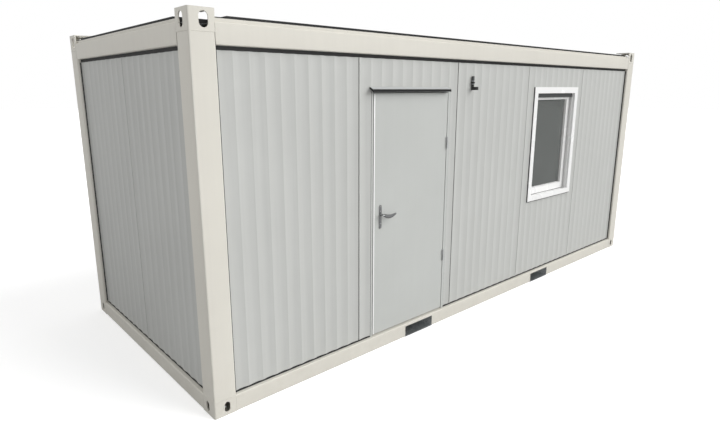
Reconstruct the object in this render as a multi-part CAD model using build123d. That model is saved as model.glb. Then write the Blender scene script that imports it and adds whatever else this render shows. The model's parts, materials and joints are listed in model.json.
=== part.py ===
from build123d import *
import os

# Portable site cabin: a steel frame of four corner posts, floor and roof
# rails with pierced corner fittings, filled with profiled sandwich wall
# panels.  Lengths are in millimetres.  Pieces are laid out from the left,
# front, bottom corner of the frame: X to the right along the long front
# wall, Y from the front wall to the back wall, Z up.  They are moved at the
# end so that the origin is under the middle of the whole cabin.

# Overall frame
frame_length = 6055.0
frame_width = 2435.0
frame_height = 2591.0

# Corner posts: closed L-shaped folded section
post_leg = 165.0
post_depth = 110.0
post_wall = 4.0
post_bend = 12.0

# Corner fittings: welded plates with a slot in each outer face
fitting_plate = 8.0
top_fitting_height = 131.0
slot_from_corner = 95.0
top_slot_width = 58.0
top_slot_height = 92.0
bottom_slot_width = 42.0
bottom_slot_height = 73.0

# Floor rails: C-section with lips
floor_rail_height = 120.0
rail_wall = 3.0
rail_lip = 20.0
rail_bend = 8.0

# Roof rails: web, deep bottom flange, short top flange with an upstand
roof_rail_drop = 73.0
roof_rail_height = 131.0
roof_upstand_setback = 20.0
roof_upstand_height = 22.0

# Fork pockets through the floor, from front to back
fork_pocket_spacing = 2055.0
fork_pocket_width = 352.0
fork_pocket_height = 93.0
fork_pocket_wall = 3.5

# Floor and ceiling build-up
deck_thickness = 20.0
floor_beam_width = 50.0
floor_beam_wall = 3.0
floor_beams_per_bay = 3
underside_sheet_thickness = 2.0
ceiling_thickness = 12.0
ceiling_edge_setback = 60.0
roof_beam_width = 40.0
roof_beam_wall = 3.0
roof_beam_count = 9

# Roof skin and the dark edge strip that stands on it
roof_sheet_thickness = 2.0
roof_seam_width = 20.0
roof_seam_height = 18.0
roof_seam_count = 9
edge_strip_setback = 24.0
edge_strip_width = 18.0
edge_strip_height = 40.0
edge_strip_notch = 253.0

# Wall panels
panel_recess = 26.0
panel_thickness = 60.0
panel_gap = 0.5
trough_pitch = 114.5
trough_depth = 5.5
trough_side = 38.0
joint_margin = 2.5
door_joint_margin = 6.0
joint_depth = 6.0
base_seal_height = 14.0
head_seal_height = 25.0
seal_setback = 3.0
front_seams = (1295.0, 2455.0, 3600.0, 4745.0)
back_panel_count = 5
end_panel_count = 2

# Door
leaf_left = 1449.0
leaf_width = 875.0
leaf_bottom = 130.0
leaf_head_drop = 279.0
leaf_thickness = 45.0
hinge_side_gap = 5.0
lock_side_gap = 8.0
head_gap = 5.0
stop_gap = 5.0
door_head_face = 25.0
lock_jamb_face = 18.0
hinge_jamb_face = 30.0
door_frame_proud = 2.0
door_stop_lap = 15.0
threshold_height = 20.0

# Door hinges: lift-off pins in front of the leaf
lower_hinge_rise = 520.0
upper_hinge_drop = 428.0
hinge_radius = 7.0
hinge_pin_radius = 3.5
hinge_pin_clearance = 0.05
knuckle_height = 50.0
knuckle_gap = 0.3
hinge_strap_width = 16.0
hinge_strap_thickness = 4.0
hinge_offset = 9.0

# Lever handle and lock plates
spindle_from_edge = 75.0
spindle_height = 1158.0
lever_length = 128.0
lever_standoff = 41.0
lever_root_height = 22.0
lever_middle_height = 30.0
lever_tip_height = 14.0
lever_sag = 12.0
lever_width = 16.0
neck_radius = 9.0
neck_clearance = 0.3
spindle_side = 9.0
spindle_bore_radius = 8.0
plate_width = 24.0
plate_top = 1234.0
plate_bottom = 1040.0
plate_thickness = 6.0
key_height = 1082.0
key_barrel_radius = 8.5
key_web_width = 10.0
key_web_drop = 24.0
key_proud = 3.0

# Drip rail over the door
drip_reach = 40.0
drip_rise = 44.0
drip_front_drop = 21.0
drip_lip = 14.0
drip_wall = 3.0
drip_left = 1403.0
drip_right = 2318.0
drip_flange = 10.0
drip_end_drop = 4.0

# Hold-open catch on the wall beside the door
catch_x = 2660.0
catch_rise = 22.0
catch_stem_height = 120.0
catch_stem_width = 20.0
catch_stem_thickness = 14.0
catch_seat = 2.0
catch_reach = 66.0
catch_eye_radius = 13.0
catch_eye_bore = 7.0
catch_eye_height = 28.0

# Window, with the end bar of a roller shutter under its head
window_centre_x = 4181.0
window_head_drop = 228.0
window_width = 920.0
window_height = 1212.0
window_border = 65.0
window_foot_border = 55.0
window_proud = 12.0
window_lap = 20.0
window_depth = 90.0
casing_clearance = 0.5
sash_setback = 55.0
sash_width = 76.0
sash_head_width = 66.0
sash_thickness = 45.0
sash_clearance = 0.5
bead_width = 4.0
bead_recess = 24.0
glass_thickness = 20.0
shutter_bar_height = 43.0
shutter_bar_thickness = 14.0
shutter_bar_setback = 34.0

# Planes that several pieces share
roof_rail_top = frame_height - roof_rail_drop
roof_rail_bottom = roof_rail_top - roof_rail_height
panel_back = panel_recess + panel_thickness
panel_bottom = floor_rail_height + base_seal_height
panel_top = roof_rail_bottom - head_seal_height
floor_level = floor_rail_height + deck_thickness
upstand_top = roof_rail_top + roof_upstand_height
roof_sheet_bottom = roof_rail_top - rail_wall
roof_sheet_top = roof_sheet_bottom + roof_sheet_thickness
leaf_right = leaf_left + leaf_width
leaf_top = roof_rail_bottom - leaf_head_drop
leaf_face = panel_recess
leaf_back = leaf_face + leaf_thickness
jamb_left = leaf_left - lock_side_gap
jamb_right = leaf_right + hinge_side_gap
frame_left = jamb_left - lock_jamb_face
frame_right = jamb_right + hinge_jamb_face
frame_head = leaf_top + head_gap
frame_top = frame_head + door_head_face
stop_face = leaf_back + stop_gap
hinge_heights = (leaf_bottom + lower_hinge_rise, leaf_top - upper_hinge_drop)
drip_top = leaf_top + drip_rise
catch_bottom = leaf_top + catch_rise
window_top = roof_rail_bottom - window_head_drop
window_bottom = window_top - window_height
fork_tube_width = fork_pocket_width + 2 * fork_pocket_wall
fork_tube_height = fork_pocket_height + 2 * fork_pocket_wall
fork_centres = tuple(frame_length / 2 + side * fork_pocket_spacing / 2 for side in (-1, 1))
spindle_x = leaf_left + spindle_from_edge
front_reach = max(catch_reach, lever_standoff + lever_width) - panel_recess


def block(x0, x1, y0, y1, z0, z1):
    """A box between two values on each axis."""
    box = Box(x1 - x0, y1 - y0, z1 - z0, align=(Align.MIN, Align.MIN, Align.MIN))
    return Pos(x0, y0, z0) * box


def rectangle(u0, u1, v0, v1):
    """A rectangle between two values on each sketch axis."""
    return Pos(u0, v0) * Rectangle(u1 - u0, v1 - v0, align=(Align.MIN, Align.MIN))


def round_corners(sketch, corners, radius):
    """Round the corners of a sketch that lie at the given points."""
    found = [v for v in sketch.vertices()
             if any(abs(v.X - x) < 0.01 and abs(v.Y - y) < 0.01 for x, y in corners)]
    return fillet(found, radius)


def mirror_x(shape):
    return mirror(shape, about=Plane.YZ.offset(frame_length / 2))


def mirror_y(shape):
    return mirror(shape, about=Plane.XZ.offset(-frame_width / 2))


def corners(shape):
    """The left front piece and its three mirror images."""
    right = mirror_x(shape)
    return [shape, right, mirror_y(shape), mirror_y(right)]


def along_x(section, x0, x1):
    """Extrude a section drawn as (depth from the face, height) along X."""
    return Pos(x0, 0, 0) * extrude(Plane.YZ * section, amount=x1 - x0)


def along_y(section, y0, y1):
    """Extrude a section drawn as (X, height) along Y."""
    return Pos(0, y0, 0) * extrude(Plane.XZ * section, amount=-(y1 - y0))


def slot_cutter(width, length, depth):
    """A slot with round ends, long in X, cutting along Z about the origin."""
    return Pos(0, 0, -depth / 2) * extrude(SlotOverall(length, width), amount=depth)


def corner_post():
    outline = Polyline((0, 0), (post_leg, 0), (post_leg, post_depth), (post_depth, post_depth),
                       (post_depth, post_leg), (0, post_leg), close=True)
    outer = make_face(outline)
    hollow = offset(outer, amount=-post_wall, kind=Kind.INTERSECTION)
    outer = round_corners(outer, [(0, 0), (post_leg, 0), (0, post_leg)], post_bend)
    height = frame_height - top_fitting_height - floor_rail_height
    return Pos(0, 0, floor_rail_height) * extrude(outer - hollow, amount=height)


def corner_fitting(bottom, height, slot_width, slot_height, cap_slot_at_top):
    """Front, end, top and bottom plates; the two inner sides stay open."""
    box = block(0, post_leg, 0, post_leg, bottom, bottom + height)
    box -= block(fitting_plate, post_leg, fitting_plate, post_leg,
                 bottom + fitting_plate, bottom + height - fitting_plate)
    corner_edge = box.edges().filter_by(Axis.Z).sort_by_distance((0, 0, bottom))[0]
    box = fillet(corner_edge, post_bend)
    middle = bottom + height / 2
    slot = slot_cutter(slot_width, slot_height, 4 * fitting_plate)
    box -= Pos(slot_from_corner, 0, middle) * Rot(90, 0, 0) * Rot(0, 0, 90) * slot
    box -= Pos(0, slot_from_corner, middle) * Rot(0, 90, 0) * slot
    cap = bottom + height if cap_slot_at_top else bottom
    return box - Pos(slot_from_corner, slot_from_corner, cap) * slot


def floor_rail_section():
    section = rectangle(0, post_depth, 0, floor_rail_height)
    section -= rectangle(rail_wall, post_depth - rail_wall, rail_wall, floor_rail_height - rail_wall)
    section -= rectangle(post_depth - rail_wall, post_depth, rail_lip, floor_rail_height - rail_lip)
    return round_corners(section, [(0, 0), (0, floor_rail_height)], rail_bend)


def roof_rail_section():
    section = rectangle(0, rail_wall, roof_rail_bottom, roof_rail_top)
    section += rectangle(0, post_depth, roof_rail_bottom, roof_rail_bottom + rail_wall)
    section += rectangle(0, roof_upstand_setback, roof_rail_top - rail_wall, roof_rail_top)
    section += rectangle(roof_upstand_setback - rail_wall, roof_upstand_setback,
                         roof_rail_top - rail_wall, upstand_top)
    return round_corners(section, [(0, roof_rail_bottom), (0, roof_rail_top)], rail_bend)


def fork_tube_space():
    """The room that the two fork pocket tubes take up through the floor."""
    return [block(x - fork_tube_width / 2, x + fork_tube_width / 2, 0, frame_width, 0, fork_tube_height)
            for x in fork_centres]


def floor_rails():
    front = along_x(floor_rail_section(), post_leg, frame_length - post_leg)
    front -= fork_tube_space()
    left = along_y(floor_rail_section(), post_leg, frame_width - post_leg)
    return {"floor_rail_front": front, "floor_rail_back": mirror_y(front),
            "floor_rail_ends": [left, mirror_x(left)]}


def roof_rails():
    front = along_x(roof_rail_section(), post_leg, frame_length - post_leg)
    left = along_y(roof_rail_section(), post_leg, frame_width - post_leg)
    return {"roof_rail_front": front, "roof_rail_back": mirror_y(front),
            "roof_rail_ends": [left, mirror_x(left)]}


def fork_pockets():
    tubes = []
    for x in fork_centres:
        tube = block(x - fork_tube_width / 2, x + fork_tube_width / 2, 0, frame_width, 0, fork_tube_height)
        tube -= block(x - fork_pocket_width / 2, x + fork_pocket_width / 2, 0, frame_width,
                      fork_pocket_wall, fork_pocket_wall + fork_pocket_height)
        tubes.append(tube)
    return tubes


def channel(x, y0, y1, width, bottom, top, wall):
    """A C-section beam across the cabin, open to the right."""
    beam = block(x, x + width, y0, y1, bottom, top)
    return beam - block(x + wall, x + width, y0, y1, bottom + wall, top - wall)


def floor_beams():
    """Cross beams in the three bays that the fork pockets leave."""
    half_tube = fork_tube_width / 2
    bays = [(post_depth, fork_centres[0] - half_tube),
            (fork_centres[0] + half_tube, fork_centres[1] - half_tube),
            (fork_centres[1] + half_tube, frame_length - post_depth)]
    beams = []
    for start, end in bays:
        step = (end - start) / (floor_beams_per_bay + 1)
        for i in range(1, floor_beams_per_bay + 1):
            beams.append(channel(start + i * step - floor_beam_width / 2, post_depth,
                                 frame_width - post_depth, floor_beam_width,
                                 rail_lip, floor_rail_height, floor_beam_wall))
    return beams


def underside_sheet():
    sheet = block(post_depth, frame_length - post_depth, post_depth, frame_width - post_depth,
                  rail_lip - underside_sheet_thickness, rail_lip)
    sheet -= fork_tube_space()
    return sheet.solids()


def floor_deck():
    edge = panel_back + panel_gap
    deck = block(edge, frame_length - edge, edge, frame_width - edge, floor_rail_height, floor_level)
    post = block(0, post_leg + panel_gap, 0, post_depth + panel_gap, floor_rail_height, floor_level)
    post += block(0, post_depth + panel_gap, 0, post_leg + panel_gap, floor_rail_height, floor_level)
    deck -= corners(post)
    return deck - block(frame_left - panel_gap, frame_right + panel_gap, 0, post_depth + panel_gap,
                        floor_rail_height, floor_level)


def ceiling():
    bottom = roof_rail_bottom + rail_wall
    edge = ceiling_edge_setback
    board = block(edge, frame_length - edge, edge, frame_width - edge, bottom, bottom + ceiling_thickness)
    clear = post_leg + panel_gap
    return board - corners(block(0, clear, 0, clear, bottom, bottom + ceiling_thickness))


def roof_beams():
    bottom = roof_rail_bottom + rail_wall + ceiling_thickness
    start = post_leg
    end = frame_length - post_leg
    step = (end - start) / (roof_beam_count + 1)
    return [channel(start + i * step - roof_beam_width / 2, rail_wall, frame_width - rail_wall,
                    roof_beam_width, bottom, roof_sheet_bottom, roof_beam_wall)
            for i in range(1, roof_beam_count + 1)]


def roof_sheet():
    """Flat sheet between the upstands, with folded seams across it."""
    edge = roof_upstand_setback
    sheet = block(edge, frame_length - edge, edge, frame_width - edge, roof_sheet_bottom, roof_sheet_top)
    clear = post_leg + panel_gap
    sheet -= corners(block(0, clear, 0, clear, roof_sheet_bottom, roof_sheet_top))
    first = edge_strip_notch + edge_strip_width
    step = (frame_length - 2 * first) / (roof_seam_count + 1)
    inset = edge_strip_setback + edge_strip_width + panel_gap
    for i in range(1, roof_seam_count + 1):
        x = first + i * step
        sheet += block(x - roof_seam_width / 2, x + roof_seam_width / 2, inset, frame_width - inset,
                       roof_sheet_top, roof_sheet_top + roof_seam_height)
    return sheet


def roof_edge_strip():
    """Raised strip round the roof, stepped in at the corner fittings."""
    near = edge_strip_setback
    notch = edge_strip_notch
    far_x = frame_length - near
    far_y = frame_width - near
    outline = Polyline((near, notch), (notch, notch), (notch, near),
                       (frame_length - notch, near), (frame_length - notch, notch), (far_x, notch),
                       (far_x, frame_width - notch), (frame_length - notch, frame_width - notch),
                       (frame_length - notch, far_y), (notch, far_y), (notch, frame_width - notch),
                       (near, frame_width - notch), close=True)
    outer = make_face(outline)
    inner = offset(outer, amount=-edge_strip_width, kind=Kind.INTERSECTION)
    return Pos(0, 0, roof_sheet_top) * extrude(outer - inner, amount=edge_strip_height)


def panel_section(length, margin):
    """Plan of a wall panel: flat inside, shallow troughs outside, rebated ends."""
    run = length - 2 * margin
    step = run / round(run / trough_pitch)
    low = panel_recess + trough_depth
    rebate = panel_recess + joint_depth
    face = []
    for i in range(round(run / step)):
        x = margin + i * step
        face += [(x, panel_recess), (x + trough_side, low), (x + step - trough_side, low)]
    rim = [(length - margin, panel_recess), (length - margin, rebate), (length, rebate),
           (length, panel_back), (0, panel_back), (0, rebate), (margin, rebate)]
    return make_face(Polyline(*face, *rim, close=True))


def wall_panel(start, end, margin):
    """A panel of the front wall between two seams."""
    section = panel_section(end - start - 2 * panel_gap, margin)
    return Pos(start + panel_gap, 0, panel_bottom) * extrude(section, amount=panel_top - panel_bottom)


def front_wall():
    seams = (post_leg,) + front_seams + (frame_length - post_leg,)
    margins = (joint_margin, door_joint_margin, joint_margin, joint_margin, joint_margin)
    left, door, middle, window, right = [wall_panel(a, b, margin)
                                         for a, b, margin in zip(seams, seams[1:], margins)]
    low, high = seams[1], seams[2]
    beside_left = block(low, frame_left - panel_gap, 0, panel_back, panel_bottom, panel_top)
    beside_right = block(frame_right + panel_gap, high, 0, panel_back, panel_bottom, panel_top)
    over = block(frame_left, frame_right, 0, panel_back, frame_top, panel_top)
    window -= casing_space(casing_clearance)
    return {"wall_front_left": left, "wall_door_left": door & beside_left,
            "wall_over_door": door & over, "wall_door_right": door & beside_right,
            "wall_front_middle": middle, "wall_front_window": window, "wall_front_right": right}


def back_wall():
    step = (frame_length - 2 * post_leg) / back_panel_count
    return [mirror_y(wall_panel(post_leg + i * step, post_leg + (i + 1) * step, joint_margin))
            for i in range(back_panel_count)]


def end_wall():
    """The left wall: front-wall panels turned to run along Y."""
    step = (frame_width - 2 * post_leg) / end_panel_count
    panels = [wall_panel(post_leg + i * step, post_leg + (i + 1) * step, joint_margin)
              for i in range(end_panel_count)]
    turned = Pos(0, frame_width, 0) * Rot(0, 0, -90)
    return [turned * panel for panel in panels]


def seal_section(bottom, top):
    return rectangle(panel_recess + seal_setback, panel_back, bottom, top)


def base_seals():
    """Strips under the panels; the front one stops at the door frame."""
    section = seal_section(floor_rail_height, panel_bottom)
    far = frame_length - post_leg
    side = along_y(section, post_leg, frame_width - post_leg)
    return [along_x(section, post_leg, frame_left), along_x(section, frame_right, far),
            mirror_y(along_x(section, post_leg, far)), side, mirror_x(side)]


def head_seals():
    section = seal_section(panel_top, roof_rail_bottom)
    front = along_x(section, post_leg, frame_length - post_leg)
    side = along_y(section, post_leg, frame_width - post_leg)
    return [front, mirror_y(front), side, mirror_x(side)]


def door_frame():
    face = panel_recess - door_frame_proud
    frame = block(frame_left, frame_right, face, post_depth, floor_rail_height, frame_top)
    frame -= block(jamb_left, jamb_right, face, post_depth, floor_rail_height, frame_head)
    stops = block(jamb_left, jamb_right, stop_face, post_depth, floor_rail_height, frame_head)
    stops -= block(jamb_left + door_stop_lap, jamb_right - door_stop_lap, stop_face, post_depth,
                   floor_rail_height, frame_head - door_stop_lap)
    return frame + stops


def door_threshold():
    return block(jamb_left + door_stop_lap, jamb_right - door_stop_lap, stop_face, post_depth,
                 floor_rail_height, floor_rail_height + threshold_height)


def key_cylinder_profile():
    """Round barrel with a web below it, as (X, height) about the barrel."""
    web = rectangle(-key_web_width / 2, key_web_width / 2, -key_web_drop, 0)
    return Circle(key_barrel_radius) + web + Pos(0, -key_web_drop) * Circle(key_web_width / 2)


def door_leaf():
    leaf = block(leaf_left, leaf_right, leaf_face, leaf_back, leaf_bottom, leaf_top)
    return leaf - along_y(Pos(spindle_x, spindle_height) * Circle(spindle_bore_radius), leaf_face, leaf_back)


def lock_plates():
    """Long plates on both faces of the leaf, each with its end of the key cylinder."""
    middle = (plate_top + plate_bottom) / 2
    plate = Pos(spindle_x, middle) * RectangleRounded(plate_width, plate_top - plate_bottom,
                                                      plate_width / 2 - 1)
    plate -= Pos(spindle_x, spindle_height) * Circle(neck_radius + neck_clearance)
    cylinder = Pos(spindle_x, key_height) * key_cylinder_profile()
    reach = plate_thickness + key_proud
    outside = along_y(plate, leaf_face - plate_thickness, leaf_face)
    outside += along_y(cylinder, leaf_face - reach, leaf_face)
    return [outside, mirror(outside, about=Plane.XZ.offset(-(leaf_face + leaf_back) / 2))]


def lever_blade():
    """A hanging crescent, deepest in the middle and thin at the tip."""
    root = lever_root_height / 2
    middle = lever_middle_height / 2
    tip = lever_tip_height / 2
    half = lever_length / 2
    top = ThreePointArc((0, root), (half, middle - lever_sag), (lever_length, tip))
    end = ThreePointArc((lever_length, tip), (lever_length + tip, 0), (lever_length, -tip))
    low = ThreePointArc((lever_length, -tip), (half, -middle - lever_sag), (0, -root))
    start = ThreePointArc((0, -root), (-root, 0), (0, root))
    face = make_face(Wire([top, end, low, start]))
    return extrude(Plane.XZ * face, amount=lever_width)


def lever_handle():
    """Outer and inner levers on one spindle through the leaf."""
    neck_start = leaf_face - lever_standoff
    blade = Pos(0, neck_start, 0) * lever_blade()
    neck = along_y(Circle(neck_radius), neck_start, leaf_face - 0.5)
    outside = blade + neck
    inside = mirror(outside, about=Plane.XZ.offset(-(leaf_face + leaf_back) / 2))
    spindle = along_y(Rectangle(spindle_side, spindle_side), leaf_face - 1, leaf_back + 1)
    return Pos(spindle_x, 0, spindle_height) * (outside + inside + spindle)


hinge_x = leaf_right + hinge_side_gap / 2
hinge_y = leaf_face - hinge_offset


def hinge_knuckle(bottom, side, strap_back):
    """A round knuckle with a flat strap that lies on the leaf or the frame."""
    knuckle = Pos(0, 0, bottom) * Cylinder(hinge_radius, knuckle_height,
                                           align=(Align.CENTER, Align.CENTER, Align.MIN))
    x0, x1 = sorted((0, side * hinge_strap_width))
    strap = block(x0, x1, strap_back - hinge_strap_thickness, strap_back, bottom, bottom + knuckle_height)
    return knuckle + strap


def frame_hinges():
    """Lower knuckles on the door frame, with the pins that the leaf turns on."""
    pieces = []
    for z in hinge_heights:
        knuckle = hinge_knuckle(z - knuckle_height, 1, hinge_offset - door_frame_proud)
        pin = Pos(0, 0, z) * Cylinder(hinge_pin_radius, knuckle_height - 4,
                                      align=(Align.CENTER, Align.CENTER, Align.MIN))
        pieces.append(Pos(hinge_x, hinge_y, 0) * (knuckle + pin))
    return pieces


def leaf_hinges():
    """Upper knuckles on the leaf, bored for the pins."""
    pieces = []
    for z in hinge_heights:
        knuckle = hinge_knuckle(z + knuckle_gap, -1, hinge_offset)
        bore = Pos(0, 0, z) * Cylinder(hinge_pin_radius + hinge_pin_clearance, knuckle_height - 2,
                                       align=(Align.CENTER, Align.CENTER, Align.MIN))
        pieces.append(Pos(hinge_x, hinge_y, 0) * (knuckle - bore))
    return pieces


def drip_rail():
    """Sloping rail with end plates that throws water clear of the leaf."""
    back = panel_recess
    front = back - drip_reach
    low = drip_top - drip_front_drop
    outline = Polyline((back, drip_top), (back, drip_top - drip_flange), (front + drip_wall, low),
                       (front + drip_wall, low - drip_lip), (front, low - drip_lip),
                       (front, low + drip_wall), (back - drip_wall, drip_top), close=True)
    rail = along_x(make_face(outline), drip_left, drip_right)
    end = Polyline((back, drip_top), (back, drip_top - drip_flange),
                   (front, low - drip_lip - drip_end_drop), (front, low + drip_wall),
                   (back - drip_wall, drip_top), close=True)
    for x in (drip_left, drip_right - drip_wall):
        rail += along_x(make_face(end), x, x + drip_wall)
    return rail


def door_catch():
    """Wall stem with an arm that stands out to an eye."""
    stem = block(catch_x - catch_stem_width / 2, catch_x + catch_stem_width / 2,
                 panel_recess - catch_stem_thickness, panel_recess + catch_seat,
                 catch_bottom, catch_bottom + catch_stem_height)
    eye_y = panel_recess - catch_reach + catch_eye_radius
    arm = block(catch_x - catch_stem_width / 2, catch_x + catch_stem_width / 2, eye_y, panel_recess,
                catch_bottom, catch_bottom + catch_eye_height)
    eye = Pos(catch_x, eye_y, catch_bottom) * Cylinder(catch_eye_radius, catch_eye_height,
                                                       align=(Align.CENTER, Align.CENTER, Align.MIN))
    bore = Pos(catch_x, eye_y, catch_bottom) * Cylinder(catch_eye_bore, catch_eye_height,
                                                        align=(Align.CENTER, Align.CENTER, Align.MIN))
    return stem + arm + eye - bore


window_left = window_centre_x - window_width / 2
window_face = panel_recess - window_proud
opening_left = window_left + window_border
opening_right = window_left + window_width - window_border
opening_bottom = window_bottom + window_foot_border
opening_top = window_top - window_border


def casing_space(clearance):
    """The hole that the window casing needs through the wall panel."""
    lap = window_lap - clearance
    return block(window_left + lap, window_left + window_width - lap, 0, panel_back,
                 window_bottom + lap, window_top - lap)


def window_frame():
    flange = block(window_left, window_left + window_width, window_face, panel_recess,
                   window_bottom, window_top)
    casing = block(window_left + window_lap, window_left + window_width - window_lap,
                   panel_recess, panel_recess + window_depth,
                   window_bottom + window_lap, window_top - window_lap)
    hole = block(opening_left, opening_right, window_face, panel_recess + window_depth,
                 opening_bottom, opening_top)
    return flange + casing - hole


sash_face = window_face + sash_setback
glass_left = opening_left + sash_width + bead_width
glass_right = opening_right - sash_width - bead_width
glass_bottom = opening_bottom + sash_width + bead_width
glass_top = opening_top - sash_head_width - bead_width


def window_sash():
    gap = sash_clearance
    sash = block(opening_left + gap, opening_right - gap, sash_face, sash_face + sash_thickness,
                 opening_bottom, opening_top - gap)
    sash -= block(opening_left + sash_width, opening_right - sash_width, sash_face,
                  sash_face + bead_recess, opening_bottom + sash_width, opening_top - sash_head_width)
    return sash - block(glass_left, glass_right, sash_face, sash_face + sash_thickness,
                        glass_bottom, glass_top)


def window_glass():
    return block(glass_left, glass_right, sash_face + bead_recess,
                 sash_face + bead_recess + glass_thickness, glass_bottom, glass_top)


def shutter_bar():
    front = window_face + shutter_bar_setback
    return block(opening_left, opening_right, front, front + shutter_bar_thickness,
                 opening_top - shutter_bar_height, opening_top)


def build():
    posts = corners(corner_post())
    top = corner_fitting(frame_height - top_fitting_height, top_fitting_height,
                         top_slot_width, top_slot_height, True)
    bottom = corner_fitting(0, floor_rail_height, bottom_slot_width, bottom_slot_height, False)
    left_wall = end_wall()
    nodes = dict(zip(("post_front_left", "post_front_right", "post_back_left", "post_back_right"), posts))
    nodes |= {"top_corner_fittings": corners(top), "bottom_corner_fittings": corners(bottom)}
    nodes |= floor_rails() | roof_rails() | front_wall()
    nodes |= {
        "fork_pockets": fork_pockets(), "floor_beams": floor_beams(),
        "underside_sheet": underside_sheet(), "floor_deck": floor_deck(), "ceiling": ceiling(),
        "roof_beams": roof_beams(), "roof_sheet": roof_sheet(),
        "roof_edge_strip": roof_edge_strip(), "wall_back": back_wall(), "wall_left": left_wall,
        "wall_right": [mirror_x(panel) for panel in left_wall],
        "base_seals": base_seals(), "head_seals": head_seals(),
        "door_frame": door_frame(), "door_threshold": door_threshold(), "door_leaf": door_leaf(),
        "door_hinges_frame": frame_hinges(), "door_hinges_leaf": leaf_hinges(),
        "lock_plates": lock_plates(), "lever_handle": lever_handle(),
        "drip_rail": drip_rail(), "door_catch": door_catch(),
        "window_frame": window_frame(), "window_sash": window_sash(), "window_glass": window_glass(),
        "shutter_bar": shutter_bar(),
    }
    return nodes


def write_parts():
    os.makedirs("parts", exist_ok=True)
    to_origin = Pos(-frame_length / 2, -(frame_width - front_reach) / 2, 0)
    for name, shape in build().items():
        solids = shape if isinstance(shape, list) else list(shape.solids())
        moved = [to_origin * solid for solid in solids]
        export_step(Compound(children=moved) if len(moved) > 1 else moved[0], f"parts/{name}.step")


write_parts()
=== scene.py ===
import json
import math

import bmesh
import bpy
from mathutils import Matrix, Vector


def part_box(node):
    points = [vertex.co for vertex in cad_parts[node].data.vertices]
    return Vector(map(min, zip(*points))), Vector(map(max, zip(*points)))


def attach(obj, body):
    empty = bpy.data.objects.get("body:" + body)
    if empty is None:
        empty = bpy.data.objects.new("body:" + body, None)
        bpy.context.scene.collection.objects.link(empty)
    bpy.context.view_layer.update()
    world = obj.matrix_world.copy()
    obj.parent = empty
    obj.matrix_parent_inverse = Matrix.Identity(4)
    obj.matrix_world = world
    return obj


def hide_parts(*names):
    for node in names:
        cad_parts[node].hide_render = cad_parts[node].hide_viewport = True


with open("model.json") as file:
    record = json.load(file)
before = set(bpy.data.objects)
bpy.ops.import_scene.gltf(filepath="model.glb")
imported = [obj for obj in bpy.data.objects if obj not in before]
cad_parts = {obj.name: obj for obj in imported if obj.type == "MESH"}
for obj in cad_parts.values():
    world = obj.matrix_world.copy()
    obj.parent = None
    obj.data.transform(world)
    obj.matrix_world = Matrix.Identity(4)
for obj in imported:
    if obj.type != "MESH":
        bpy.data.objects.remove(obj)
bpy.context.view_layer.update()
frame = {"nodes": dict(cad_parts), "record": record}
nodes = frame["nodes"]

# Camera, solved from the straight edges of the cabin in the photograph
CAMERA_PLACE = (-4.372, -4.1435, 2.140)
CAMERA_TURN = -41.737
CAMERA_DIP = 13.033
CAMERA_ROLL = -0.047
CAMERA_LENS = 26.398
SENSOR_WIDTH = 36.0

MM = 0.001
FRONT = Vector((0.0, -1.0, 0.0))
BACK = Vector((0.0, 1.0, 0.0))
LEFT = Vector((-1.0, 0.0, 0.0))
RIGHT = Vector((1.0, 0.0, 0.0))
UP = Vector((0.0, 0.0, 1.0))
DOWN = Vector((0.0, 0.0, -1.0))


def box_of(node):
    """Lowest and highest corner of a CAD node."""
    low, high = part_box(node)
    return Vector(low), Vector(high)


class Tree:
    """Adds nodes to one node tree and joins them."""

    def __init__(self, tree):
        self.tree = tree

    def add(self, kind, inputs=None, **settings):
        node = self.tree.nodes.new(kind)
        for name, value in settings.items():
            setattr(node, name, value)
        for name, value in (inputs or {}).items():
            self.feed(node.inputs[name], value)
        return node

    def feed(self, socket, value):
        """Join an output to the socket, or set the socket's own value."""
        if isinstance(value, bpy.types.NodeSocket):
            self.tree.links.new(value, socket)
        else:
            socket.default_value = value

    def math(self, operation, a, b=0.0, clamp=False):
        node = self.add("ShaderNodeMath", operation=operation, use_clamp=clamp)
        self.feed(node.inputs[0], a)
        self.feed(node.inputs[1], b)
        return node.outputs[0]

    def blend(self, factor, a, b, kind="MIX"):
        node = self.add("ShaderNodeMix", data_type="RGBA", blend_type=kind)
        for name, value in (("Factor", factor), ("A", a), ("B", b)):
            socket = next(s for s in node.inputs if s.name == name and s.enabled)
            self.feed(socket, value)
        return next(s for s in node.outputs if s.enabled)

    def spread(self, value, low, high, to_low=0.0, to_high=1.0):
        node = self.add("ShaderNodeMapRange", {"Value": value, "From Min": low, "From Max": high,
                                               "To Min": to_low, "To Max": to_high})
        return node.outputs["Result"]


def colour(red, green, blue):
    """Linear colour from the 0 to 255 values that a screen shows."""
    return tuple((v / 255) ** 2.2 for v in (red, green, blue)) + (1.0,)


def effect(name, inputs, outputs):
    """An empty node group with named inputs and outputs."""
    group = bpy.data.node_groups.new(name, "ShaderNodeTree")
    for label, value in inputs:
        socket = group.interface.new_socket(label, in_out="INPUT", socket_type="NodeSocketFloat")
        socket.default_value = value
    for label in outputs:
        group.interface.new_socket(label, in_out="OUTPUT", socket_type="NodeSocketFloat")
    return Tree(group)


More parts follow.
